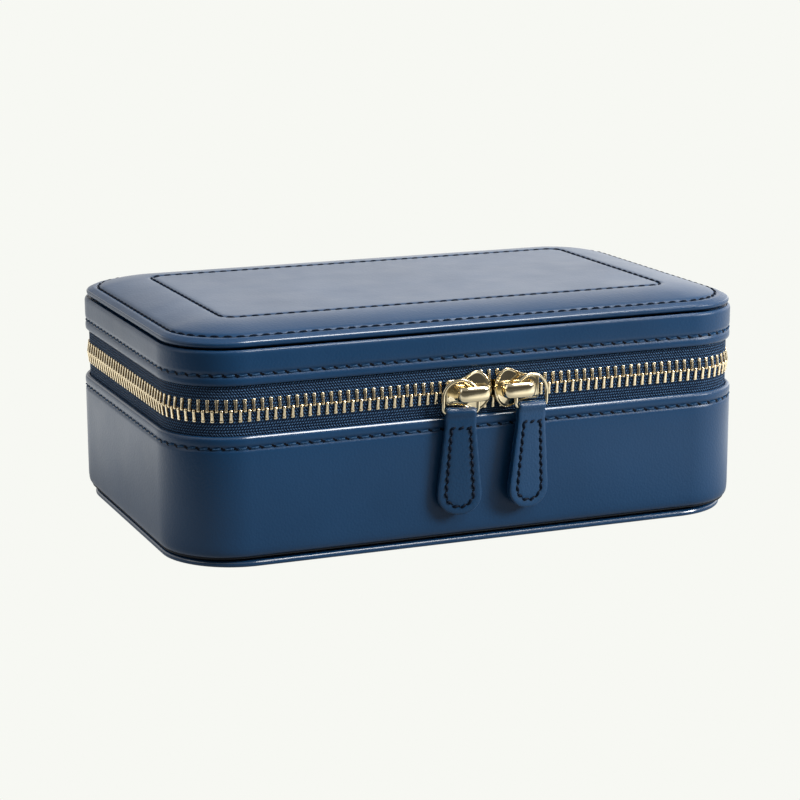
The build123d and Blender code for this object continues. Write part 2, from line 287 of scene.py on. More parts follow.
def silvered(name):
    """Mirror glass, with a trace of haze."""
    material, tree, shader = new_material(name)
    haze = noise(tree, 45.0, 3.0)
    shader.inputs["Metallic"].default_value = 1.0
    tint = two_tones(tree, haze, (0.80, 0.83, 0.84), (0.88, 0.90, 0.90))
    tree.links.new(tint, shader.inputs["Base Color"])
    tree.links.new(between(tree, haze, 0.015, 0.05), shader.inputs["Roughness"])
    return material


NAVY = leather("navy_leather", (0.007, 0.046, 0.120), (0.010, 0.057, 0.146))
ROLLED_EDGE = leather(
    "navy_rolled_edge", (0.007, 0.046, 0.120), (0.010, 0.057, 0.146), 0.16, 0.005, 2.0
)
PULL_NAVY = leather("navy_pull_leather", (0.008, 0.049, 0.124), (0.011, 0.059, 0.148), 0.34, 0.05)
NAVY_THREAD = thread("navy_thread", (0.008, 0.034, 0.090), (0.060, 0.140, 0.260))
DARK_THREAD = thread("dark_thread", (0.001, 0.004, 0.012), (0.003, 0.011, 0.028))
# Near-black for the stitch holes: painted shade in the holes.
HOLE_PAINTED_SHADE = thread("stitch_hole_painted_shade", (0.001, 0.002, 0.005), (0.003, 0.006, 0.014))
TAPE = woven("navy_tape", (0.001, 0.007, 0.026), (0.085, 0.195, 0.370))
GOLD = metal("pale_gold", (1.0, 0.86, 0.58), 0.1)
TOOTH_GOLD = metal("tooth_gold", (1.0, 0.84, 0.56), 0.2)
# Dark gold on the teeth's sides is painted shade between neighbouring teeth.
TOOTH_SIDE_SHADE = metal("tooth_side_painted_shade", (0.30, 0.20, 0.09), 0.35)
SUEDE = suede("beige_suede", (0.40, 0.33, 0.26), (0.50, 0.42, 0.34))
# Near-black board for the frames and boards seen in the grooves between leather pieces: painted
# shade in the grooves.
BOARD_PAINTED_SHADE = fibreboard("board_painted_shade", (0.002, 0.004, 0.008), (0.006, 0.010, 0.018))
MIRROR = silvered("mirror_glass")


# Meshes


def piece(name, points, faces, material, uv=None, sharp=45.0):
    """A mesh object from points in millimetres, smooth except at sharp edges."""
    mesh = bpy.data.meshes.new(name)
    mesh.from_pydata([Vector(point) * MM for point in points], [], faces)
    if uv:
        layer = mesh.uv_layers.new(name="surface")
        for loop in mesh.loops:
            layer.data[loop.index].uv = uv[loop.vertex_index]
    shaped = bmesh.new()
    shaped.from_mesh(mesh)
    bmesh.ops.recalc_face_normals(shaped, faces=shaped.faces)
    shaped.to_mesh(mesh)
    shaped.free()
    mesh.shade_smooth()
    mesh.set_sharp_from_angle(angle=radians(sharp))
    mesh.materials.append(material)
    made = bpy.data.objects.new(name, mesh)
    bpy.context.scene.collection.objects.link(made)
    return made


def two_materials(made, second, numbers):
    """Give the faces with these numbers a second material."""
    made.data.materials.append(second)
    for number in numbers:
        made.data.polygons[number].material_index = 1
    return made


def place(made, body, slot, *nodes):
    """Put a piece on its CAD body, in place of the CAD nodes named."""
    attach(made, body)
    if nodes:
        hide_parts(*nodes)
    return made


def along_run(start, end):
    """Points between two corners, close to them at both ends."""
    return [
        (start[0] + (end[0] - start[0]) * share, start[1] + (end[1] - start[1]) * share)
        for share in RUN_SHARES
    ]


def front_run(start, end):
    """Points along the front, closer together where the zip spreads between the sliders."""
    spread = [SLIDERS_MEET_X + step * 0.75 for step in range(-14, 15)]
    sides = along_run(start, (spread[0], start[1])) + [(x, start[1]) for x in spread]
    return sides + along_run((spread[-1], start[1]), end)


def rounded_plan(half_x, half_y, radius, gap=0.0, steps=ARC_STEPS):
    """Points round a rounded rectangle, from the back's middle by the left, front and right.
    With a gap, the loop is open at the back from x=-gap to x=gap."""
    corners = []
    for quarter, (side_x, side_y) in enumerate(((-1, 1), (-1, -1), (1, -1), (1, 1))):
        centre = (side_x * (half_x - radius), side_y * (half_y - radius))
        turns = [radians(90 * (quarter + 1 + step / steps)) for step in range(steps + 1)]
        corners.append([(centre[0] + radius * cos(t), centre[1] + radius * sin(t)) for t in turns])
    left, front_left, front_right, right = corners
    points = left + along_run(left[-1], front_left[0]) + front_left
    points += front_run(front_left[-1], front_right[0]) + front_right
    points += along_run(front_right[-1], right[0]) + right
    if gap:
        return [(-gap, half_y)] + points + [(gap, half_y)]
    return points + along_run(right[-1], left[0])


def plan(inset, gap=0.0, corner=CORNER_RADIUS):
    """Points round the case's outline, moved in by inset."""
    radius = max(corner - inset, SMALLEST_CORNER)
    return rounded_plan(CASE_WIDTH / 2 - inset, CASE_DEPTH / 2 - inset, radius, gap)


def running_length(points):
    total, lengths = 0.0, [0.0]
    for first, second in zip(points, points[1:]):
        total += (Vector(second) - Vector(first)).length
        lengths.append(total)
    return lengths


def skin(name, rings, material, closed_rings=True, closed_profile=True, caps=False, sharp=45.0):
    """Faces between rings of as many points each, with UV in millimetres along and across."""
    count = len(rings[0])
    points = [point for ring in rings for point in ring]
    across = running_length([ring[len(ring) // 2] for ring in rings])
    along = running_length(rings[0])
    uv = [(along[k], across[n]) for n in range(len(rings)) for k in range(count)]
    faces = []
    for n in range(len(rings) if closed_profile else len(rings) - 1):
        this, other = n * count, (n + 1) % len(rings) * count
        for k in range(count if closed_rings else count - 1):
            after = (k + 1) % count
            faces.append((this + k, this + after, other + after, other + k))
    if caps and closed_profile:
        faces.append([n * count for n in range(len(rings))])
        faces.append([n * count + count - 1 for n in range(len(rings))])
    elif caps:
        faces.append(list(range(count)))
        faces.append([(len(rings) - 1) * count + k for k in range(count)])
    return piece(name, points, faces, material, uv, sharp)


def panel_plan(inset):
    """Points round the lid's panel, whose corners stay rounder than the case's own."""
    share = min(1.0, max(0.0, (CROWN_MARGIN - inset) / (CROWN_MARGIN - EDGE_ROW)))
    radius = SMALLEST_CORNER + (PANEL_CORNER - SMALLEST_CORNER) * share
    return rounded_plan(CASE_WIDTH / 2 - inset, CASE_DEPTH / 2 - inset, radius)


def base_plan(inset):
    """Points round the base panel, whose corners are a little rounder than the case's."""
    return plan(inset, corner=BASE_CORNER_RADIUS)


def swept(name, profile, material, rolled=(), outline=plan, **options):
    """A profile of (inset, height) pairs carried round an outline. The profile's sides
    numbered in rolled get the glossier material of a rolled edge."""
    rings = [[(x, y, z) for x, y in outline(inset)] for inset, z in profile]
    made = skin(name, rings, material, **options)
    if rolled:
        count = len(rings[0])
        numbers = [side * count + k for side in rolled for k in range(count)]
        two_materials(made, ROLLED_EDGE, numbers)
    return made


# Stitches


def places_along(points, distances):
    """The point and direction at each distance, in rising order, along a line of points."""
    lengths, found, n = running_length(points), [], 0
    for distance in distances:
        while lengths[n + 1] < distance:
            n += 1
        run = points[n + 1] - points[n]
        share = (distance - lengths[n]) / (lengths[n + 1] - lengths[n])
        found.append((points[n] + run * share, run.normalized()))
    return found


def walk(points, spacing, closed=True):
    """Evenly spaced (point, direction) pairs that fill a line of points."""
    line = [Vector(point) for point in points]
    if closed:
        line.append(line[0])
    total = running_length(line)[-1]
    count = max(1, round(total / spacing))
    return places_along(line, [(number + 0.5) * total / count for number in range(count)])


def stitches(
    name, line, pitch, face_out, closed=True, slant=0.12, thick=0.24, share=0.8, hole=0.34,
    lift=0.16, material=NAVY_THREAD,
):
    """A row of thread loops that dive into pricked holes; each hole is a near-black plug, painted
    shade in the hole.
    face_out gives the surface's outward direction from a point and the row's direction there."""
    points, faces, dark = [], [], []
    sides = STITCH_SIDES
    turns = [2 * pi * side / sides for side in range(sides)]

    def join(low, high):
        for side in range(sides):
            after = (side + 1) % sides
            faces.append((low + side, low + after, high + after, high + side))

    def close(ring):
        faces.append([ring + side for side in range(sides)])

    for centre, forward in walk(line, pitch, closed):
        out = face_out(centre, forward)
        aside = out.cross(forward).normalized()
        half = pitch * share / 2
        start = len(points)
        for station in STITCH_STATIONS:
            middle = centre + forward * (half * station) + aside * (slant * station)
            middle = middle + out * (lift - 0.42 * station ** 4)
            radius = thick * (1.0 - 0.25 * station ** 2)
            points += [middle + (out * cos(turn) + aside * sin(turn)) * radius for turn in turns]
        for n in range(len(STITCH_STATIONS) - 1):
            join(start + n * sides, start + (n + 1) * sides)
        close(start)
        close(len(points) - sides)
        # Each hole is a near-black plug just proud of the surface: painted shade in the hole.
        for end in (-1, 1):
            pierced = centre + forward * (half * 1.03 * end) + aside * (slant * end)
            start, first_face = len(points), len(faces)
            for rise, radius in ((-0.25, hole + 0.02), (0.035, hole)):
                for turn in turns:
                    round_it = forward * (1.15 * cos(turn)) + aside * (0.85 * sin(turn))
                    points.append(pierced + out * rise + round_it * radius)
            join(start, start + sides)
            close(start + sides)
            close(start)
            dark += range(first_face, len(faces))
    return two_materials(piece(name, points, faces, material), HOLE_PAINTED_SHADE, dark)


def sideways(_, forward):
    """The outward direction on the case's upright walls."""
    return Vector((forward.y, -forward.x, 0.0)).normalized()


def rim_stitching(name, body, inset, height):
    """The row of stitches round one of the two rims."""
    line = [(x, y, height) for x, y in plan(inset)]
    row = stitches(
        name, line, STITCH_PITCH, sideways, slant=0.16, thick=0.2, share=0.78, hole=0.42
    )
    place(row, body, "leather")


# The leather outside


def crown(inset):
    """The padded panel's height at a distance in from the outline, with its sewn valleys."""
    share = max(0.0, 1.0 - (inset - PANEL_INSET) / (CROWN_MARGIN - PANEL_INSET))
    height = CROWN_TOP - CROWN_RISE * share ** 2
    height -= 0.38 * exp(-(((inset - EDGE_ROW) / 0.55) ** 2))
    return height - 0.34 * exp(-(((inset - CROWN_MARGIN) / 0.7) ** 2))


def build_base():
    profile = [
        (47, 0.05), (4.2, 0.0), (2.5, 0.0), (2.0, 0.06), (1.65, 0.2), (1.46, 0.45), (1.4, 0.75),
        (1.41, 1.0), (1.45, 1.1), (1.47, 1.14), (1.64, 1.41), (1.67, 1.45), (1.85, 1.56),
        (2.4, 1.6), (4.0, 1.6), (47, 1.95),
    ]
    made = swept(
        "base_panel", profile, NAVY, rolled=(9,), outline=base_plan, closed_profile=False, caps=True
    )
    place(made, "case", "leather", "base_leather")


def build_body():
    profile = [
        (2.3, 3.1), (1.9, 3.0), (1.4, 3.02), (0.95, 3.2), (0.6, 3.55), (0.36, 4.05),
        (0.22, 4.7), (0.13, 5.6), (0.1, 7.0), (0.08, 12.0), (0.06, 20.0), (0.05, 27.0),
        (0.05, 30.6), (0.08, 31.05), (0.2, 31.35), (0.31, 31.5), (0.33, 31.95), (0.31, 32.4),
        (0.2, 32.55), (0.07, 32.8), (0.02, 33.2), (0.02, 33.8), (0.06, 34.3), (0.16, 34.58),
        (0.2, 34.62), (0.5, 34.89), (0.54, 34.92), (0.75, 35.04), (1.0, 35.06), (1.25, 34.9),
        (1.38, 34.5), (1.4, 33.0), (1.4, 18.0), (2.2, 6.0),
    ]
    made = swept("body_wall", profile, NAVY, rolled=(24,))
    place(made, "case", "leather", "body_leather")
    rim_stitching("body_stitching", "case", BODY_ROW_INSET, BODY_ROW_HEIGHT)


def build_band():
    profile = [
        (1.4, 48.9), (1.38, 48.5), (1.2, 48.22), (0.95, 48.12), (0.72, 48.2), (0.52, 48.45),
        (0.44, 48.9), (0.44, 49.6), (0.5, 50.05), (0.62, 50.3), (0.74, 50.45), (0.77, 50.9),
        (0.74, 51.35), (0.62, 51.5), (0.5, 51.75), (0.44, 52.4), (0.43, 54.0), (0.42, 55.8),
        (0.43, 56.5), (0.5, 56.84), (0.6, 57.02), (0.64, 57.06), (0.96, 57.35), (1.0, 57.37),
        (1.15, 57.38), (1.4, 57.2), (1.6, 56.96), (8.0, 56.94), (8.0, 56.9), (2.0, 56.88),
        (2.0, 54.2), (1.4, 54.1),
    ]
    made = swept("lid_band", profile, NAVY, rolled=(20,))
    place(made, "lid", "leather", "lid_band_leather")
    rim_stitching("lid_band_stitching", "lid", BAND_ROW_INSET, BAND_ROW_HEIGHT)


def build_panel():
    """The padded top panel: rolled edge, rising crown and two sewn valleys."""
    edge = [(47, 58.1), (9.2, 58.1), (3.4, 58.1), (2.6, 58.05), (2.1, 57.92), (1.7, 57.9)]
    edge += [(1.42, 58.02), (1.26, 58.3), (1.2, 58.7), (1.22, 59.0), (1.32, 59.2), (1.35, 59.24)]
    edge += [(1.48, 59.36), (1.54, 59.41), (1.82, 59.6), (2.15, 59.74)]
    insets = [2.6, 3.0, 3.3, 3.6, 3.8, 4.0, 4.2, 4.4, 4.7, 5.1, 5.8, 7.0, 9.0, 11.0, 13.0, 15.0]
    insets += [16.6, 17.4, 17.9, 18.2, 18.45, 18.7, 18.95, 19.2, 19.6, 20.2, 21.5, 24.0, 28.0]
    insets += [33.0, 39.0, 47.0]
    profile = edge + [(inset, crown(inset)) for inset in insets]
    made = swept(
        "lid_panel", profile, NAVY, rolled=(11,), outline=panel_plan, closed_profile=False,
        caps=True,
    )
    place(made, "lid", "leather", "lid_panel_leather", "lid_padding")
    rows = (("panel_edge_stitching", EDGE_ROW), ("panel_inner_stitching", CROWN_MARGIN))
    for name, inset in rows:
        line = [(x, y, crown(inset)) for x, y in panel_plan(inset)]
        row = stitches(
            name, line, STITCH_PITCH, lambda *_: Vector((0, 0, 1)), thick=0.32, lift=0.2,
            material=DARK_THREAD,
        )
        place(row, "lid", "leather")


# The zip


def spread(x, y):
    """How far each row of the zip is moved from the middle, between and under the sliders."""
    if y > -CASE_DEPTH / 4:  # the spread is on the front only
        return 0.0
    share = (SPREAD_START - abs(x - SLIDERS_MEET_X)) / (SPREAD_START - SPREAD_FULL)
    share = min(1.0, max(0.0, share))
    return SPREAD_HALF * share * share * (3 - 2 * share)


def build_tape(name, node, body, way):
    """One tape, with a corded inner edge. way is -1 below the zip's middle and 1 above."""
    profile = [
        (1.42, 12.5), (1.42, 7.0), (1.42, 4.0), (1.40, 3.1), (1.36, 1.6), (1.18, 1.0),
        (1.12, 0.62), (1.22, 0.34), (1.5, 0.26), (1.8, 0.3), (1.98, 0.6), (2.0, 1.2),
        (2.0, 4.0), (2.0, 12.5),
    ]
    rings = []
    for inset, off in profile:
        inner = max(0.0, 1.0 - off / 6.0)
        rings.append([
            (x, y, ZIP_HEIGHT + way * (off + spread(x, y) * inner))
            for x, y in plan(inset, ZIP_END_X)
        ])
    made = skin(name, rings, TAPE, closed_rings=False, caps=True)
    place(made, body, "tape", node)


def squared(part, power):
    """A sine or cosine pushed out, so that a round section turns squarer."""
    return abs(part) ** power * (1 if part > 0 else -1)


def tooth(way):
    """One tooth's rings in its own frame: along the zip, out of the case, up."""
    outline = [
        (-3.0, 0.34, 0.30), (-2.96, 0.46, 0.50), (-2.8, 0.51, 0.58), (-2.45, 0.51, 0.64),
        (-2.3, 0.43, 0.60), (-2.15, 0.45, 0.70), (-1.5, 0.41, 0.84), (-1.0, 0.38, 0.94),
        (-0.6, 0.38, 1.02), (-0.35, 0.43, 1.10), (-0.1, 0.46, 1.12), (0.15, 0.44, 1.04),
        (0.34, 0.34, 0.8), (0.44, 0.16, 0.4),
    ]
    turns = [2 * pi * (side + 0.5) / 12 for side in range(12)]
    section = [(squared(cos(turn), 0.45), squared(sin(turn), 0.66)) for turn in turns]
    return [
        [(half * across, 0.3 + 0.66 * deep * out, -way * height) for across, out in section]
        for height, half, deep in outline
    ]


def build_teeth(name, node, body, way):
    """One row of teeth, half a pitch on for the upper row, open under the sliders."""
    line = [Vector((x, y, ZIP_HEIGHT)) for x, y in plan(ZIP_INSET, ZIP_END_X)]
    total = running_length(line)[-1]
    count = int((total - END_STOP_ROOM) / TOOTH_PITCH)
    first = (total - (count - 0.5) * TOOTH_PITCH) / 2 + (TOOTH_PITCH / 2 if way > 0 else 0)
    distances = [first + number * TOOTH_PITCH for number in range(count)]
    rings = tooth(way)
    sides = len(rings[0])
    up = Vector((0, 0, 1))
    points, faces, shaded_sides = [], [], []
    for at, forward in places_along(line, distances):
        out = Vector((forward.y, -forward.x, 0.0))
        at = at + up * (way * spread(at.x, at.y))
        start = len(points)
        for ring in rings:
            points += [at + forward * a + out * b + up * c for a, b, c in ring]
        for k in range(len(rings) - 1):
            low, high = start + k * sides, start + (k + 1) * sides
            for side in range(sides):
                after = (side + 1) % sides
                # The sides facing the neighbouring teeth get the dark gold of painted shade.
                if side in (0, 5, 6, 11):
                    shaded_sides.append(len(faces))
                faces.append((low + side, low + after, high + after, high + side))
        faces.append([start + side for side in range(sides)])
        faces.append([len(points) - sides + side for side in range(sides)])
    made = piece(name, points, faces, TOOTH_GOLD, sharp=60.0)
    place(two_materials(made, TOOTH_SIDE_SHADE, shaded_sides), body, "gold", node)


# Sliders


def slider_outline():
    """The plate's outline from the front, (along to the nose, up), smooth and waisted."""
    upper = [(-6.5, 0.0), (-6.5, 2.0), (-6.42, 3.0), (-6.2, 3.42), (-5.6, 3.5), (-4.6, 3.48)]
    upper += [(-3.4, 3.5), (-2.2, 3.68), (-1.0, 4.1), (0.1, 4.65), (1.1, 5.12), (2.0, 5.38)]
    upper += [(2.7, 5.4), (3.5, 5.2), (4.3, 4.7), (5.1, 3.9), (5.8, 2.8), (6.3, 1.5)]
    return upper + [(6.5, 0.0)] + [(x, -z) for x, z in reversed(upper[1:])]


def shrunk(outline, distance):
    """The outline moved inwards along its own normals."""
    moved = []
    for n, (x, z) in enumerate(outline):
        before, after = Vector(outline[n - 1]), Vector(outline[(n + 1) % len(outline)])
        along = (after - before).normalized()
        moved.append((x + along.y * distance, z - along.x * distance))
    return moved


def slider_point(side, along, up, out):
    """From a slider's own frame to the case's: out is measured from the plate's face."""
    way = 1 if side == "left" else -1
    return (SLIDER_X[side] + way * along, -PLATE_OUT - out, ZIP_HEIGHT + up)


def dome(up):
    """The plate falls away above and below its middle."""
    return -0.030 * up * up


def build_slider(side):
    """Front and back plates with raised, rounded rims, and the neck between them."""
    outline = slider_outline()
    rings = []
    for distance, out in (
        (0.35, -1.0), (0.0, -0.8), (0.0, -0.35), (0.05, -0.12), (0.14, -0.01), (0.26, 0.0),
        (0.36, -0.06), (0.5, -0.18), (1.0, -0.24), (2.0, -0.22),
    ):
        shaped = shrunk(outline, distance)
        rings.append([slider_point(side, x, z, out + dome(z)) for x, z in shaped])
    inner = [(x * 0.45, z * 0.45) for x, z in shrunk(outline, 2.0)]
    rings.append([slider_point(side, x, z, -0.2 + dome(z)) for x, z in inner])
    front = skin(f"slider_plate_{side}", rings, GOLD, closed_profile=False, caps=True, sharp=80.0)
    place(front, f"slider_{side}", "gold", f"slider_body_{side}")
    rings = []
    for distance, depth in ((0.4, 0.0), (0.0, 0.2), (0.0, 0.6), (0.35, 0.8)):
        shaped = shrunk(outline, distance)
        rings.append([slider_point(side, x, z, PLATE_BACK - PLATE_OUT - depth) for x, z in shaped])
    back = skin(f"slider_back_{side}", rings, GOLD, closed_profile=False, caps=True)
    place(back, f"slider_{side}", "gold")
    diamond = ((2.3, 0.0), (2.8, 0.26), (4.6, 0.26), (5.3, 0.0), (4.6, -0.26), (2.8, -0.26))
    rings = []
    for depth, grow in ((-0.9, 0.12), (-1.4, 0.0), (-3.6, 0.0), (-4.1, 0.12)):
        rings.append([slider_point(side, x, z * (1 + grow), depth) for x, z in diamond])
    neck = skin(f"slider_neck_{side}", rings, GOLD, closed_profile=False, caps=True)
    place(neck, f"slider_{side}", "gold")


def build_bridge(side):
    """The arch that holds the pull ring: broad bar, rounded shoulders, two feet."""
    path = [(-4.0, -0.6), (-3.95, 0.6), (-3.9, 1.5), (-3.8, 2.3), (-3.55, 2.9), (-3.1, 3.24)]
    path += [(-2.3, 3.38), (-1.2, 3.43), (0.0, 3.44)]
    path += [(-x, out) for x, out in reversed(path[:-1])]
    points = [Vector(slider_point(side, x + BRIDGE_FORWARD, 0.0, out)) for x, out in path]
    turns = [2 * pi * (n + 0.5) / 28 for n in range(28)]
    section = [(0.86 * squared(cos(t), 0.86), 2.02 * squared(sin(t), 0.86)) for t in turns]
    up = Vector((0, 0, 1))
    rings = []
    for n, point in enumerate(points):
        before, after = points[max(n - 1, 0)], points[min(n + 1, len(points) - 1)]
        outward = up.cross((after - before).normalized())
        rings.append([point + outward * a + up * b for a, b in section])
    made = skin(f"slider_arch_{side}", rings, GOLD, closed_profile=False, caps=True, sharp=60.0)
    place(made, f"slider_{side}", "gold", f"slider_bridge_{side}")


def ring_space(side):
    """The pull ring's own frame as a matrix: X across the ring, Y up, Z out of the case."""
    yaw = Matrix.Rotation(radians(RING_YAW[side]), 4, "Z")
    stand = Matrix.Rotation(radians(90), 4, "X")
    lean = Matrix.Rotation(radians(RING_LEAN[side]), 4, "Z")
    middle = Matrix.Translation((RING_X[side], -PLATE_OUT - RING_OUT, ZIP_HEIGHT))
    return middle @ yaw @ stand @ lean


def build_ring(side):
    """A horseshoe of round wire."""
    radius, corner = 4.7, 1.0
    arcs = [(0.0, -1.0, radius, range(0, 181, 9))]
    arcs += [(corner - radius, PULL_BAR + corner, corner, range(180, 271, 15))]
    arcs += [(radius - corner, PULL_BAR + corner, corner, range(270, 361, 15))]
    outline = [
        (x + r * cos(radians(a)), y + r * sin(radians(a))) for x, y, r, turns in arcs for a in turns
    ]
    space = ring_space(side)
    points = [space @ Vector((x, y, 0)) for x, y in outline]
    normal = space.to_3x3() @ Vector((0, 0, 1))
    rings = []
    for n, point in enumerate(points):
        forward = (points[(n + 1) % len(points)] - points[n - 1]).normalized()
        aside = normal.cross(forward)
        rings.append([
            point + (aside * cos(2 * pi * k / 12) + normal * sin(2 * pi * k / 12)) * RING_WIRE
            for k in range(12)
        ])
    made = skin(f"ring_wire_{side}", rings, GOLD, sharp=80.0)
    place(made, f"ring_{side}", "gold", f"pull_ring_{side}")


# Leather pulls


def pull_half(y):
    """Half the pull's width at a height."""
    if y >= PULL_NECK_END:
        return PULL_NECK
    if y >= PULL_WIDE_AT:
        share = (PULL_NECK_END - y) / (PULL_NECK_END - PULL_WIDE_AT)
        return PULL_NECK + (PULL_WIDE - PULL_NECK) * share
    share = min(1.0, (PULL_WIDE_AT - y) / (PULL_WIDE_AT - PULL_END))
    return PULL_WIDE * (max(0.0, 1.0 - share ** 2.15)) ** 0.5


def pull_row_inset(y):
    """How far the side stitching is from the pull's edge at a height."""
    share = min(1.0, (PULL_ROW_TOP - y) / (PULL_ROW_TOP - PULL_WIDE_AT))
    return PULL_ROW_INSET_TOP + (PULL_ROW_INSET - PULL_ROW_INSET_TOP) * share


def pull_outline():
    """The pull's sides and round end, from the bar down the left and up the right."""
    heights = [PULL_BAR - 0.4 * n for n in range(int((PULL_BAR - PULL_WIDE_AT) / 0.4) + 1)]
    drop = PULL_WIDE_AT - PULL_END
    heights += [PULL_WIDE_AT - drop * sin(radians(a)) for a in range(3, 91, 3)]
    left = [(-pull_half(y), y) for y in heights]
    return left + [(-x, y) for x, y in reversed(left[:-1])]


def edge_distance(x, y, outline):
    return min(hypot(x - a, y - b) for a, b in outline)


def build_pull(side):
    """A strap folded over the ring's bar: two layers, skived edges and a sewn valley."""
    outline = pull_outline()
    drop = PULL_WIDE_AT - PULL_END
    gap = 0.10
    heights = [PULL_BAR - 0.9 * n for n in range(1, 25)]
    heights += [PULL_WIDE_AT - drop * sin(radians(a)) for a in range(6, 85, 6)] + [PULL_END + 0.03]
    bore = 0.52
    turns = [radians(a) for a in range(0, 181, 15)]
    fold = [(bore * cos(turn), PULL_BAR + bore * sin(turn), turn) for turn in turns]
    shares = [-1.0, -0.985, -0.95, -0.9, -0.82, -0.74, -0.66, -0.58, -0.5, -0.4, -0.2]
    shares += [-share for share in reversed(shares)]
    space = ring_space(side)
    outer, inner = [], []

    def add_station(y, depth, out, flat_y):
        half = max(pull_half(flat_y), 0.25)
        outer_ring, inner_ring = [], []
        for share in shares:
            x = share * half
            rim = edge_distance(x, flat_y, outline) if flat_y < PULL_BAR - 1 else half - abs(x)
            thick = PULL_LAYER * (1 - 0.38 * exp(-rim / 0.22))
            sewn = flat_y < PULL_ROW_TOP + 0.3
            thick -= 0.16 * exp(-(((rim - pull_row_inset(flat_y)) / 0.45) ** 2)) if sewn else 0
            base = Vector((x, y, depth))
            outer_ring.append(space @ (base + out * thick))
            inner_ring.append(space @ base)
        outer.append(outer_ring)
        inner.append(inner_ring)

    for y in reversed(heights):
        add_station(y, gap, Vector((0, 0, 1)), y)
    for depth, y, turn in fold:
        turned = Vector((0, sin(turn), cos(turn)))
        add_station(y, depth, turned, PULL_BAR)
    for y in heights:
        add_station(y, -gap, Vector((0, 0, -1)), y)
    rings = [top + list(reversed(bottom)) for top, bottom in zip(outer, inner)]
    made = skin(f"pull_strap_{side}", rings, PULL_NAVY, closed_profile=False, caps=True, sharp=50.0)
    count = len(rings[0])
    fold_top = (len(heights) + 2) * count
    two_materials(made, ROLLED_EDGE, range(fold_top, fold_top + 2 * count))
    place(made, f"pull_{side}", "leather_pull", f"leather_pull_{side}")

    levels = [PULL_ROW_TOP - 0.7 * n for n in range(26)]
    row = [(-(pull_half(y) - pull_row_inset(y)), y) for y in levels]
    low, centre = row[-1]
    sag = centre - PULL_END - PULL_ROW_INSET
    row += [(low * cos(radians(a)), centre - sag * sin(radians(a))) for a in range(10, 91, 10)]
    row += [(-x, y) for x, y in reversed(row[:-1])]
    reach = pull_half(PULL_ROW_TOP) - PULL_ROW_INSET_TOP + 0.8
    cross = [(x * reach, PULL_ROW_TOP) for x in (-1.0, -0.5, 0.0, 0.5, 1.0)]
    out = (space.to_3x3() @ Vector((0, 0, 1))).normalized()
    for name, line in ((f"pull_stitching_{side}", row), (f"pull_cross_stitching_{side}", cross)):
        for face, depth in (("front", 1.0), ("back", -1.0)):
            lifted = depth * (gap + PULL_LAYER - 0.13)
            placed_line = [space @ Vector((x, y, lifted)) for x, y in line]
            thread_row = stitches(
                f"{name}_{face}", placed_line, PULL_STITCH_PITCH,
                lambda *_, way=depth: out * way, closed=False, slant=0.24, thick=0.42,
                lift=0.1, material=DARK_THREAD,
            )
            place(thread_row, f"pull_{side}", "leather_pull")


# Hinge, inside and mirror


def build_hinge():
    """The leather strip along the back and its lining."""
    strips = (
        ("hinge_strip", "hinge_leather", NAVY, "leather", 52.7, 51.5, 59.0),
        ("hinge_inner_strip", "hinge_lining", SUEDE, "lining", 51.2, 50.4, 59.0),
    )
    levels = [BODY_RIM + (LID_RIM - BODY_RIM) * n / 26 for n in range(27)]
    for name, node, material, slot, outer, inner, reach in strips:
        rings = []
        across = [-1.0, -0.995, -0.5, 0.0, 0.5, 0.995, 1.0]
        for z in levels:
            bulge = 0.12 * sin(pi * (z - BODY_RIM) / (LID_RIM - BODY_RIM))
            front, back = [], []
            for share in across:
                at_end = abs(share) == 1
                front.append((share * reach, outer - (0.4 if at_end else bulge), z))
                back.append((share * reach, inner + (0.3 if at_end else 0.0), z))
            rings.append(front + list(reversed(back)))
        made = skin(name, rings, material, closed_profile=False, caps=True)
        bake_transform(made)
        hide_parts(node)


def build_linings():
    wall = [
        (4.42, 6.05), (4.42, 20.0), (4.42, 34.2), (4.7, 34.28), (4.95, 34.1), (5.1, 33.0),
        (5.25, 20.0), (5.15, 8.0), (5.0, 6.05),
    ]
    place(swept("body_lining", wall, SUEDE), "case", "lining", "body_wall_lining")
    pad = [(47, 5.02), (4.45, 5.02), (4.42, 5.4), (4.6, 5.8), (5.2, 6.0), (9.0, 6.1), (47, 6.12)]
    made = swept("floor_cushion", pad, SUEDE, closed_profile=False, caps=True)
    place(made, "case", "lining", "floor_pad")
    lid_wall = [
        (4.42, 48.95), (4.42, 54.25), (5.0, 54.25), (5.15, 53.2), (5.15, 50.2), (5.0, 49.1),
        (4.75, 48.92),
    ]
    place(swept("lid_lining", lid_wall, SUEDE), "lid", "lining", "lid_wall_lining")
    ceiling = [(47, 55.08), (4.45, 55.08), (4.42, 54.7), (4.6, 54.35), (5.4, 54.3), (47, 54.28)]
    made = swept("lid_ceiling", ceiling, SUEDE, closed_profile=False, caps=True)
    place(made, "lid", "lining", "lid_ceiling_lining")
    for name, body, way, rim, node in (
        ("body_binding", "case", -1, BODY_RIM, "body_inner_rim"),
        ("lid_binding", "lid", 1, LID_RIM, "lid_inner_rim"),
    ):
        binding = [
            (2.02, rim + way * 0.8), (2.02, rim + way * 0.25), (2.25, rim + way * 0.03),
            (3.0, rim),
            (4.2, rim), (4.75, rim + way * 0.06), (4.98, rim + way * 0.3), (5.0, rim + way * 0.8),
        ]
        place(swept(name, binding, NAVY), body, "leather", node)


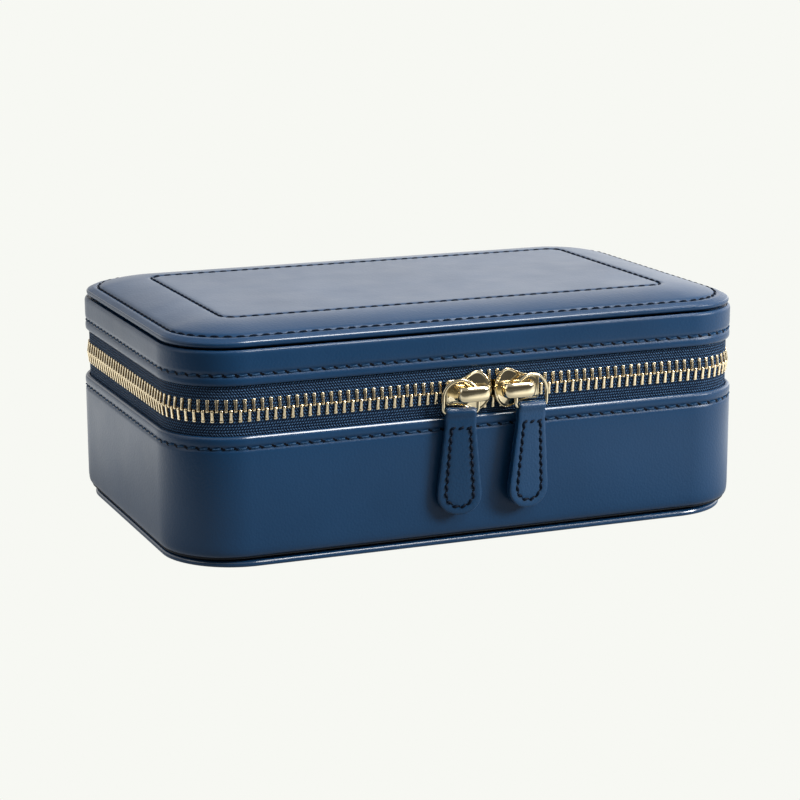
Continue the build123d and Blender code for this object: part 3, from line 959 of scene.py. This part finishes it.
def cushion_rings(low, high, section, ends=1.2):
    """Rings along X for a padded bar: the section draws in towards both ends."""
    rings = []
    stations = [0.0, 0.25, 0.7, ends, 2.5, 6.0]
    length = high - low
    xs = stations + [length * n / 12 for n in range(1, 12) if 6 < length * n / 12 < length - 6]
    xs += [length - x for x in reversed(stations)]
    centre_y = sum(y for y, _ in section) / len(section)
    centre_z = sum(z for _, z in section) / len(section)
    for x in xs:
        near = min(x, length - x)
        grow = 1.0 - 0.16 * max(0.0, 1.0 - near / ends) ** 2
        soft = 1.0 - 0.03 * exp(-near / 4.0)
        size = grow * soft
        rings.append([
            (low + x, centre_y + (y - centre_y) * size, centre_z + (z - centre_z) * size)
            for y, z in section
        ])
    return rings


def build_rolls():
    """Ring rolls: stuffed suede tubes, flat below and round on top."""
    for index in range(1, 6):
        node = f"ring_roll_{index}"
        low, high = [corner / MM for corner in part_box(node)]
        half = (high.y - low.y) / 2
        middle = (high.y + low.y) / 2
        crest = high.z - half
        turns = [radians(a) for a in range(0, 181, 12)]
        section = [(middle + half * cos(t), crest + half * sin(t)) for t in turns]
        side = [(0.05, 6), (0.1, 1.2), (0.9, 0)]
        section += [(low.y + inset, low.z + rise) for inset, rise in side] + [(middle, low.z)]
        section += [(high.y - inset, low.z + rise) for inset, rise in reversed(side)]
        rings = cushion_rings(low.x, high.x, section)
        made = skin(f"roll_{index}", rings, SUEDE, closed_profile=False, caps=True)
        place(made, "case", "lining", node)


def build_dividers():
    for node in ("divider_long", "divider_rear", "divider_front"):
        low, high = [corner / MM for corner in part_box(node)]
        along_x = high.x - low.x > high.y - low.y
        thin = (low.y, high.y) if along_x else (low.x, high.x)
        start, end = (low.x, high.x) if along_x else (low.y, high.y)
        middle, half = sum(thin) / 2, (thin[1] - thin[0]) / 2
        section = [
            (-1.0, 6.05), (-1.0, 15.0), (-0.98, 24.6), (-0.8, 25.5), (-0.4, 25.93), (0.0, 26.0),
            (0.4, 25.93), (0.8, 25.5), (0.98, 24.6), (1.0, 15.0), (1.0, 6.05),
        ]
        rings = []
        steps = 14
        for n in range(steps + 1):
            at = start + 0.02 + (end - start - 0.04) * n / steps
            row = [(middle + share * half, z) for share, z in section]
            rings.append([(at, a, z) if along_x else (a, at, z) for a, z in row])
        made = skin(f"{node}_suede", rings, SUEDE, closed_profile=False, caps=True)
        place(made, "case", "lining", node)


def build_bezel():
    low, high = [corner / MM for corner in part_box("mirror_bezel")]
    reach_x, reach_y, deep = high.x, high.y, high.z - low.z
    profile = [(0.0, 0.0), (0.05, 1.3), (0.5, 2.0), (1.4, deep), (4.2, deep), (5.6, 2.0)]
    profile += [(6.3, 1.75), (6.5, 1.68), (5.1, 1.62), (5.02, 0.0)]
    rings = []
    for inset, depth in profile:
        outline = rounded_plan(reach_x - inset, reach_y - inset, max(8.0 - inset, 1.5), steps=8)
        rings.append([(x, y, high.z - depth) for x, y in outline])
    made = skin("mirror_frame", rings, NAVY)
    place(made, "lid", "leather", "mirror_bezel")


def finish_cad_nodes():
    """Give the CAD nodes that stay in view, or hidden inside, their materials. The frames and
    boards get near-black board, painted shade in the grooves where they show.
    """
    finishes = {
        "base_board": BOARD_PAINTED_SHADE, "body_frame": BOARD_PAINTED_SHADE, "lid_frame": BOARD_PAINTED_SHADE,
        "lid_panel_board": BOARD_PAINTED_SHADE,
        "mirror": MIRROR, "zip_stops_lower": GOLD, "zip_stops_upper": GOLD,
    }
    for node, material in finishes.items():
        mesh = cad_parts[node].data
        mesh.materials.clear()
        mesh.materials.append(material)


# Studio


def build_floor():
    """A plain pale floor that glows as a dim fill light. The case mirrors its glow painted darker
    close by, a painted contact shadow, and painted darker far out and to the front.
    """
    material = bpy.data.materials.new("studio_floor")
    material.use_nodes = True
    tree = material.node_tree
    tree.nodes.clear()
    seen = add(tree, "ShaderNodeEmission", {"Color": BACKDROP, "Strength": 1.0})
    path = add(tree, "ShaderNodeLightPath")
    place_on_floor = add(tree, "ShaderNodeTexCoord").outputs["Object"]
    length = add(tree, "ShaderNodeVectorMath", {0: place_on_floor}, operation="LENGTH")
    far = length.outputs["Value"]
    parts = add(tree, "ShaderNodeSeparateXYZ", {"Vector": place_on_floor})
    sideways_share = calc(tree, "MULTIPLY", parts.outputs["X"], 0.6)
    towards_back = calc(tree, "ADD", parts.outputs["Y"], sideways_share)
    # Painted shade in the floor's glow: a painted contact shadow close to the case, and darker far
    # out and towards the front.
    painted_contact_shade = smooth_range(tree, far, 0.085, 0.17, 0.45, 1.2)
    painted_far_shade = smooth_range(tree, far, 0.18, 0.30, 1.0, 0.7)
    painted_front_shade = smooth_range(tree, towards_back, -0.26, -0.06, 0.12, 1.25)
    painted_reflection_glow = calc(tree, "MULTIPLY", calc(tree, "MULTIPLY", painted_contact_shade, painted_front_shade), painted_far_shade)
    # Rays other than glossy ones get a faint even glow: the floor glows as a fill light.
    given_light = between(tree, path.outputs["Is Glossy Ray"], 0.17, painted_reflection_glow)
    colour = (0.93, 0.94, 0.92, 1.0)
    given = add(tree, "ShaderNodeEmission", {"Color": colour, "Strength": given_light})
    mixed = add(
        tree,
        "ShaderNodeMixShader",
        {0: path.outputs["Is Camera Ray"], 1: given.outputs[0], 2: seen.outputs[0]},
    )
    add(tree, "ShaderNodeOutputMaterial", {"Surface": mixed.outputs[0]})
    reach = FLOOR_REACH
    points = [(-reach, -reach, 0), (reach, -reach, 0), (reach, reach, 0), (-reach, reach, 0)]
    floor = piece("studio_floor", points, [(0, 1, 2, 3)], material)
    floor.location.z = -0.02 * MM


def build_world():
    """Pale studio walls, dark near the horizon to the front, behind a plain backdrop."""
    world = bpy.data.worlds.new("studio")
    bpy.context.scene.world = world
    world.use_nodes = True
    tree = world.node_tree
    tree.nodes.clear()
    direction = add(tree, "ShaderNodeTexCoord").outputs["Generated"]
    parts = add(tree, "ShaderNodeSeparateXYZ", {"Vector": direction})
    front = smooth_range(tree, parts.outputs["Y"], -0.45, 0.15, 0.0, 1.0)
    high = smooth_range(tree, parts.outputs["Z"], 0.25, 0.75, 0.0, 1.0)
    rightwards = smooth_range(tree, parts.outputs["X"], 0.0, 0.5, 0.8, 1.75)
    lower_down = smooth_range(tree, parts.outputs["Z"], 0.26, 0.62, 1.0, 0.42)
    lit = calc(tree, "MAXIMUM", front, high)
    strength = between(tree, lit, 0.06, calc(tree, "MULTIPLY", rightwards, lower_down))
    colour = (1.0, 0.99, 0.97, 1.0)
    shade = add(tree, "ShaderNodeBackground", {"Color": colour, "Strength": strength})
    seen = add(tree, "ShaderNodeBackground", {"Color": BACKDROP, "Strength": 1.0})
    path = add(tree, "ShaderNodeLightPath")
    mixed = add(
        tree,
        "ShaderNodeMixShader",
        {0: path.outputs["Is Camera Ray"], 1: shade.outputs[0], 2: seen.outputs[0]},
    )
    add(tree, "ShaderNodeOutputWorld", {"Surface": mixed.outputs[0]})


def area_light(name, place_at, aim, size, power):
    data = bpy.data.lights.new(name, "AREA")
    data.shape = "RECTANGLE"
    data.size, data.size_y = size
    data.energy = power
    light = bpy.data.objects.new(name, data)
    light.location = place_at
    light.rotation_euler = (Vector(place_at) - Vector(aim)).to_track_quat("Z", "Y").to_euler()
    bpy.context.scene.collection.objects.link(light)
    return light


def build_lights():
    area_light("softbox_top", (0.46, -0.17, 1.2), (0, 0, 0), (0.75, 0.3), 6.5)
    area_light("softbox_right", (1.0, -0.8, 0.6), (0, 0, 0.03), (0.45, 0.45), 16.0)
    area_light("strip_front", (0.44, -0.7, 0.86), (0, 0, 0), (0.5, 0.12), 1.8)
    area_light("softbox_left", (-1.3, -0.1, 0.6), (0, 0, 0.03), (0.7, 0.7), 1.2)


def build_camera():
    data = bpy.data.cameras.new("camera")
    data.lens = 106.9
    data.sensor_width = 36.0
    data.shift_x = -0.0052
    data.shift_y = -0.0145
    data.clip_end = 100.0
    turn, rise = radians(CAMERA_AZIMUTH), radians(CAMERA_ELEVATION)
    back = Vector((sin(turn) * cos(rise), -cos(turn) * cos(rise), sin(rise)))
    camera = bpy.data.objects.new("camera", data)
    target = Vector((0, 0, CAMERA_TARGET_Z))
    camera.location = (target + back * CAMERA_DISTANCE) * MM
    facing = back.to_track_quat("Z", "Y").to_matrix().to_4x4()
    facing = facing @ Matrix.Rotation(radians(CAMERA_ROLL), 4, "Z")
    camera.rotation_euler = facing.to_euler()
    bpy.context.scene.collection.objects.link(camera)
    bpy.context.scene.camera = camera


build_base()
build_body()
build_band()
build_panel()
build_tape("tape_lower", "zip_tape_lower", "case", -1)
build_tape("tape_upper", "zip_tape_upper", "lid", 1)
build_teeth("teeth_lower", "zip_teeth_lower", "case", -1)
build_teeth("teeth_upper", "zip_teeth_upper", "lid", 1)
for slider_side in ("left", "right"):
    build_slider(slider_side)
    build_bridge(slider_side)
    build_ring(slider_side)
    build_pull(slider_side)
build_hinge()
build_linings()
build_rolls()
build_dividers()
build_bezel()
finish_cad_nodes()
build_floor()
build_world()
build_lights()
build_camera()
bpy.context.scene.view_settings.view_transform = "Standard"
